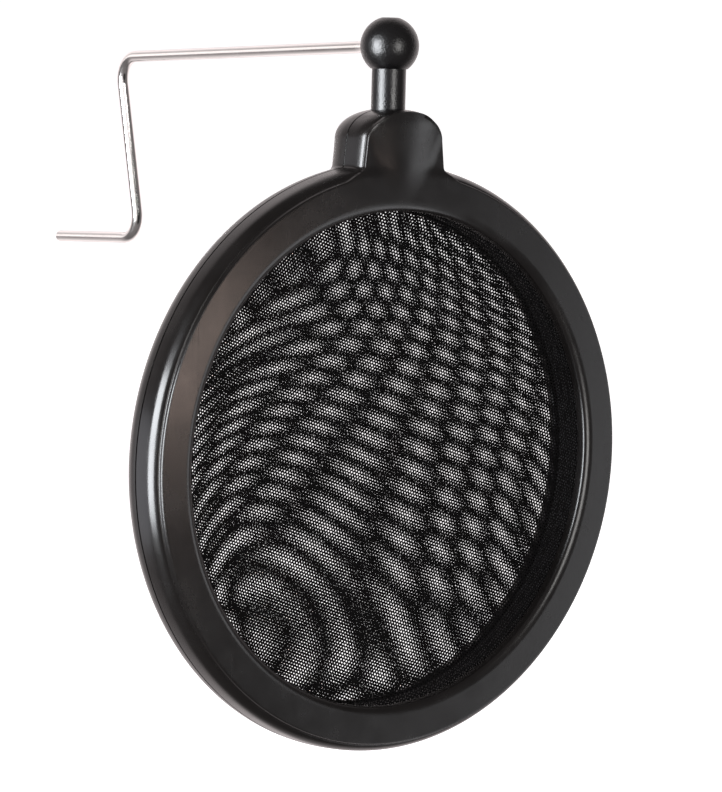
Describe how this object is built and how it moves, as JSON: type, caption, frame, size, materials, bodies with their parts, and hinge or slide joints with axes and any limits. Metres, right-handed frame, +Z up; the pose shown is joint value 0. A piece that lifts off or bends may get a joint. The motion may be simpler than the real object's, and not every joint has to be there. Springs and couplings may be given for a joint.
{
  "type": "pop filter",
  "caption": "Round two-layer mesh screen in a black two-shell ring that turns on a short stem and a ball, carried by a bent steel rod.",
  "frame": {"origin": "centre of the end face of the rod's tail, the end that goes into whatever holds the filter", "axes": "+Z up along the stem, front of the screen towards -Y, rod running back towards +Y, +X to the right seen from the front"},
  "size_m": [0.155, 0.1747, 0.1928],
  "materials": {
    "rod_steel": "bright drawn wire",
    "ball_plastic": "satin black with a fine texture",
    "insert_brass": "machined",
    "screw_steel": "blackened",
    "stem_gloss": "gloss black",
    "washer_plastic": "plain nylon",
    "seal_rubber": "matt",
    "shell_plastic": "satin black",
    "mesh_cloth": "knitted nylon mesh",
    "hoop_plastic": "matt black"
  },
  "bodies": {
    "arm": {"rod": "rod_steel"},
    "ball_unit": {"ball": "ball_plastic", "ball_insert": "insert_brass", "ball_screw": "screw_steel", "stem": "stem_gloss"},
    "screen": {"front_shell": "shell_plastic", "rear_shell": "shell_plastic", "front_mesh": "mesh_cloth", "rear_mesh": "mesh_cloth", "front_hoop": "hoop_plastic", "rear_hoop": "hoop_plastic", "spacer_ring": "hoop_plastic", "washer_upper": "washer_plastic", "washer_lower": "washer_plastic", "neck_seal": "seal_rubber", "tab_screw_left": "screw_steel", "tab_screw_right": "screw_steel", "ring_screw_1": "screw_steel", "ring_screw_2": "screw_steel", "ring_screw_3": "screw_steel", "ring_screw_4": "screw_steel", "ring_screw_5": "screw_steel"}
  },
  "joints": [
    {"name": "ball_turn", "type": "hinge", "parent": "arm", "child": "ball_unit", "pos_m": [-0.00698, -0.16513, 0.05751], "axis": [0, 0.9994, -0.0342], "range_deg": [-180, 180]},
    {"name": "screen_swivel", "type": "hinge", "parent": "ball_unit", "child": "screen", "pos_m": [-0.00698, -0.16513, 0.033], "axis": [0, 0, 1], "continuous": true}
  ]
}
